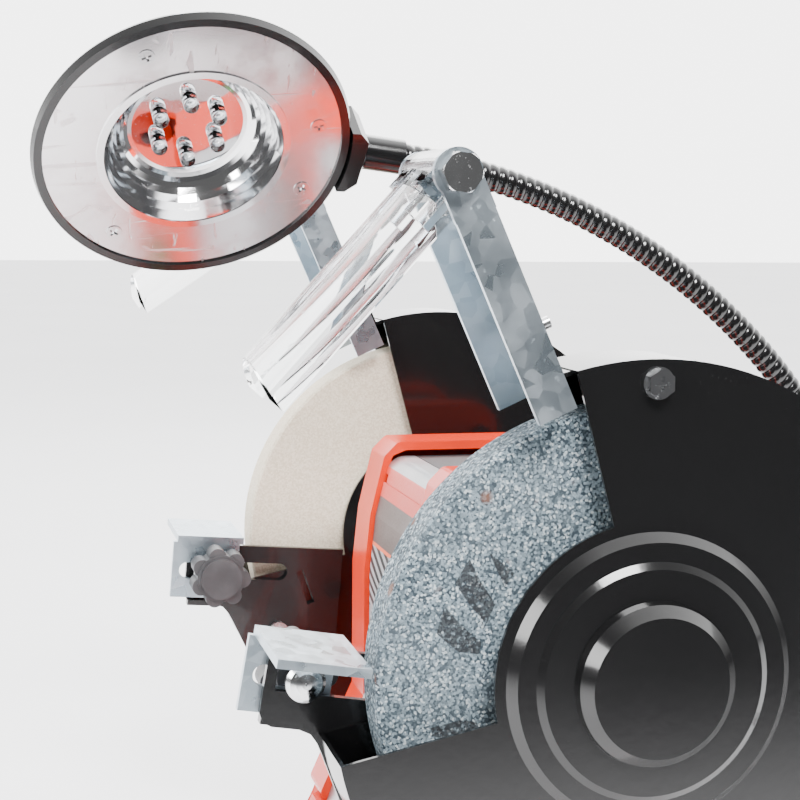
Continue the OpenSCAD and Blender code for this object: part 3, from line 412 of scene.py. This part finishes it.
def gridMesh(name, points, closedAcross, material, capped=True):
    # points is rows by columns by 3; quads join neighbours, and a fan closes each end
    rows, columns = points.shape[:2]
    step = np.arange(columns if closedAcross else columns - 1)
    following = (step + 1) % columns
    base = (np.arange(rows - 1) * columns)[:, None]
    quads = np.stack([base + step, base + following,
                      base + columns + following, base + columns + step], -1).reshape(-1, 4)
    verts = points.reshape(-1, 3)
    faces = quads.tolist()
    if capped:
        verts = np.vstack([verts, points[0].mean(0), points[-1].mean(0)])
        a, b = rows * columns, rows * columns + 1
        last = (rows - 1) * columns
        faces += np.stack([following, step, np.full(len(step), a)], -1).tolist()
        faces += np.stack([last + step, last + following, np.full(len(step), b)], -1).tolist()
    mesh = bpy.data.meshes.new(name)
    mesh.from_pydata(verts.tolist(), [], faces)
    mesh.polygons.foreach_set("use_smooth", np.ones(len(mesh.polygons), bool))
    mesh.materials.append(material)
    mesh.update()
    made = bpy.data.objects.new(name, mesh)
    bpy.context.scene.collection.objects.link(made)
    return made


hose = {
    "radius": 0.00475, "groove": 0.00072, "pitch": 0.0033, "perPitch": 10, "around": 28,
    "tightRadius": 0.080, "wideRadius": 0.220, "joinY": 0.0985, "joinZ": 0.0715, "join": 49.0,
    "foot": 120.0, "tail": 0.084, "tip": 7.2, "start": 0.0053,
    "bendLow": 92.5, "bendTop": 41.18, "blend": 0.022, "cut": 60.0, "ridgePower": 0.55,
}


def hoseRoute(s):
    # arc lengths along a straight tail, then a tight arc, then a wide arc, all in the YZ plane
    o = hose
    turn = math.radians
    tight, wide = o["tightRadius"], o["wideRadius"]
    join = np.array([o["joinY"], o["joinZ"]])
    toJoin = np.array([math.sin(turn(o["join"])), math.cos(turn(o["join"]))])
    tightCentre, wideCentre = join - tight * toJoin, join - wide * toJoin
    tailEnd = o["tail"]
    arcEnd = tailEnd + turn(o["foot"] - o["join"]) * tight
    heading = np.where(s < tailEnd, turn(o["foot"]),
                       np.where(s < arcEnd, turn(o["foot"]) - (s - tailEnd) / tight,
                                turn(o["join"]) - (s - arcEnd) / wide))
    spoke = np.stack([np.sin(heading), np.cos(heading)], -1)
    along = np.stack([-np.cos(heading), np.sin(heading)], -1)
    route = np.where((s < arcEnd)[:, None], tightCentre + tight * spoke, wideCentre + wide * spoke)
    tail = tightCentre + tight * np.array([math.sin(turn(o["foot"])), math.cos(turn(o["foot"]))])
    back = tail[None, :] + along * (s - tailEnd)[:, None]
    route = np.where((s < tailEnd)[:, None], back, route)
    return route + np.array([0.0, spindleZ]), along


def lengthAt(heading):
    o = hose
    first = o["tail"] + math.radians(o["foot"] - max(heading, o["join"])) * o["tightRadius"]
    return first + max(0.0, math.radians(o["join"] - heading)) * o["wideRadius"]


def hosePiece(name, s0, s1):
    # radius = outer radius less a groove that follows a helix of the given pitch
    o = hose
    count = int((s1 - s0) / o["pitch"] * o["perPitch"]) + 1
    s = np.linspace(s0, s1, count)
    angle = np.linspace(0, 2 * math.pi, o["around"], endpoint=False)
    centre, along = hoseRoute(s)
    normal = np.stack([-along[:, 1], along[:, 0]], -1)
    phase = s[:, None] / o["pitch"] + angle[None, :] / (2 * math.pi)
    ridge = np.abs(np.sin(math.pi * phase)) ** o["ridgePower"]
    radius = o["radius"] - o["groove"] * (1 - ridge)
    x = radius * np.cos(angle)[None, :]
    outward = radius * np.sin(angle)[None, :]
    points = np.stack([x, centre[:, 0, None] + normal[:, 0, None] * outward,
                       centre[:, 1, None] + normal[:, 1, None] * outward], -1)
    return gridMesh(name, points, True, looks["gloss"])


def hosePoint(s):
    at, _ = hoseRoute(np.array([s]))
    return (0.0, float(at[0, 0]), float(at[0, 1]))


cutAt = lengthAt(hose["cut"])
lowAt, topAt, tipAt = (lengthAt(hose[k]) for k in ("bendLow", "bendTop", "tip"))
hoseLow = hosePiece("gooseneckHose.low", hose["start"], cutAt)
hoseTop = hosePiece("gooseneckHose.top", cutAt, tipAt)
hosePoint(lowAt - hose["blend"])
hosePoint(lowAt + hose["blend"])
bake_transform(hoseLow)
hosePoint(topAt - hose["blend"])
hosePoint(topAt + hose["blend"])
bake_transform(hoseTop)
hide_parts("goose_low", "goose_mid")
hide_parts("goose_top")
print("gooseneck made")


lampAxis = {"n": (0.755, 0.072, -0.652), "u": (-0.118, 0.9927, -0.027),
            "at": (0.0105, -0.11016, 0.27363)}


def lampFrame():
    n = np.array(lampAxis["n"])
    n = n / np.linalg.norm(n)
    v = np.cross(n, lampAxis["u"])
    v = v / np.linalg.norm(v)
    return np.array(lampAxis["at"]), np.cross(v, n), v, n


leadFrames = {"count": 6, "ring": 0.0108, "first": 37.0, "floor": -0.0135, "around": 12}


def makeLeadFrames():
    # each is a profile of radius and height turned about the diode's own axis
    at, u, v, n = lampFrame()
    profile = np.array([[0.00035, -0.0004], [0.00035, 0.0016], [0.0010, 0.0020],
                        [0.0012, 0.0030], [0.0007, 0.0024], [0.0001, 0.0023]])
    turn = np.linspace(0, 2 * math.pi, leadFrames["around"], endpoint=False)
    merged = []
    for i in range(leadFrames["count"]):
        a = math.radians(leadFrames["first"] + 360 / leadFrames["count"] * i)
        centre = at + leadFrames["ring"] * (math.cos(a) * u + math.sin(a) * v)
        spread = np.cos(turn)[None, :, None] * u + np.sin(turn)[None, :, None] * v
        height = (leadFrames["floor"] + profile[:, 1])[:, None, None] * n
        points = centre + profile[:, 0][:, None, None] * spread + height
        merged.append(gridMesh("leadFrame." + str(i + 1), points, True, looks["bolt"]))
    for one in merged:
        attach(one, "lamp")


makeLeadFrames()
print("lead frames made")


lights = {  # size, place and aim in metres, power in watts
    "keyLight": ((0.35, 0.30), (0.70, 0.02, 0.85), (0.05, 0, 0.15), 20),
    "sideLight": ((0.5, 0.5), (0.55, -1.1, 0.60), (0.05, 0, 0.15), 14),
    "backLight": ((1.2, 0.8), (-0.9, 0.4, 1.2), (0, 0, 0.15), 22),
}


def makeLight(name, size, place, aim, power):
    data = bpy.data.lights.new(name, "AREA")
    data.shape, data.size, data.size_y = "RECTANGLE", size[0], size[1]
    data.energy = power
    lamp = bpy.data.objects.new(name, data)
    lamp.location = place
    lamp.rotation_euler = (Vector(aim) - Vector(place)).to_track_quat("-Z", "Y").to_euler()
    bpy.context.scene.collection.objects.link(lamp)


studio = {"bright": 5.0, "dim": 0.13, "toBright": (-0.85, 0.20, 0.42), "from": -0.25, "to": 0.60}


def makeWorld():
    # pale all round, dimming smoothly towards the side the object is seen from
    world = bpy.data.worlds.new("studio")
    world.use_nodes = True
    tree = world.node_tree
    where = tree.nodes.new("ShaderNodeTexCoord")
    dot = tree.nodes.new("ShaderNodeVectorMath")
    dot.operation = "DOT_PRODUCT"
    dot.inputs[1].default_value = Vector(studio["toBright"]).normalized()
    ease = tree.nodes.new("ShaderNodeMapRange")
    ease.interpolation_type = "SMOOTHSTEP"
    for slot, key in enumerate(("from", "to", "dim", "bright"), 1):
        ease.inputs[slot].default_value = studio[key]
    tree.links.new(where.outputs["Generated"], dot.inputs[0])
    tree.links.new(dot.outputs["Value"], ease.inputs[0])
    back = tree.nodes["Background"]
    back.inputs["Color"].default_value = (1.0, 1.0, 1.0, 1.0)
    tree.links.new(ease.outputs[0], back.inputs["Strength"])
    bpy.context.scene.world = world


# the floor's "near" colour and its from/to span are painted shade: the floor turns dark towards the
# viewer's side
floorSheet = {"half": 9.0, "lines": 7, "height": -0.0002, "light": (0.90, 0.90, 0.91),
              "shade": (0.87, 0.87, 0.88), "near": (0.02, 0.02, 0.021), "from": 0.16, "to": 0.60}


def makeFloor():
    # one wide flat square, a grid of points a hair below the feet, with painted shade making it dark
    # under the viewer
    o = floorSheet
    side = np.linspace(-o["half"], o["half"], o["lines"])
    level = np.full((o["lines"], o["lines"]), o["height"])
    points = np.stack(np.broadcast_arrays(side[None, :], side[:, None], level), -1)
    net = Net("studio_floor")
    tone = net.noise(3, 2).ramp(0.2, 0.8)
    colour = net.mix(tone, o["light"], o["shade"])
    # painted shade: the floor colour ramps to near-black along +X so glossy parts reflect darkness
    # there
    colour = net.mix(net.axis(0).ramp(o["from"], o["to"]), colour, o["near"])
    material = net.surface(Base_Color=colour, Roughness=0.75, Specular_IOR_Level=0.2)
    return gridMesh("studioFloor", points, False, material, False)


floor = makeFloor()
makeWorld()
for name, light in lights.items():
    makeLight(name, *light)

view = {"place": (0.54991, -0.17597, 0.25363), "azimuth": 13.90, "elevation": 6.17,
        "roll": 0.55, "lens": 76.03, "sensor": 36.0, "near": 0.01, "far": 50.0}


def makeCamera():
    az, el, roll = (math.radians(view[k]) for k in ("azimuth", "elevation", "roll"))
    back = Vector((math.cos(el) * math.cos(az), -math.cos(el) * math.sin(az), math.sin(el)))
    right = (-back).cross(Vector((0, 0, 1))).normalized()
    up = right.cross(-back)
    rightTurned = math.cos(roll) * right + math.sin(roll) * up
    upTurned = math.cos(roll) * up - math.sin(roll) * right
    data = bpy.data.cameras.new("camera")
    data.lens, data.sensor_width = view["lens"], view["sensor"]
    data.clip_start, data.clip_end = view["near"], view["far"]
    data.dof.use_dof = False
    made = bpy.data.objects.new("camera", data)
    turned = Matrix((rightTurned, upTurned, back)).transposed().to_4x4()
    made.matrix_world = Matrix.Translation(view["place"]) @ turned
    bpy.context.scene.collection.objects.link(made)
    bpy.context.scene.camera = made


makeCamera()
print("scene ready")
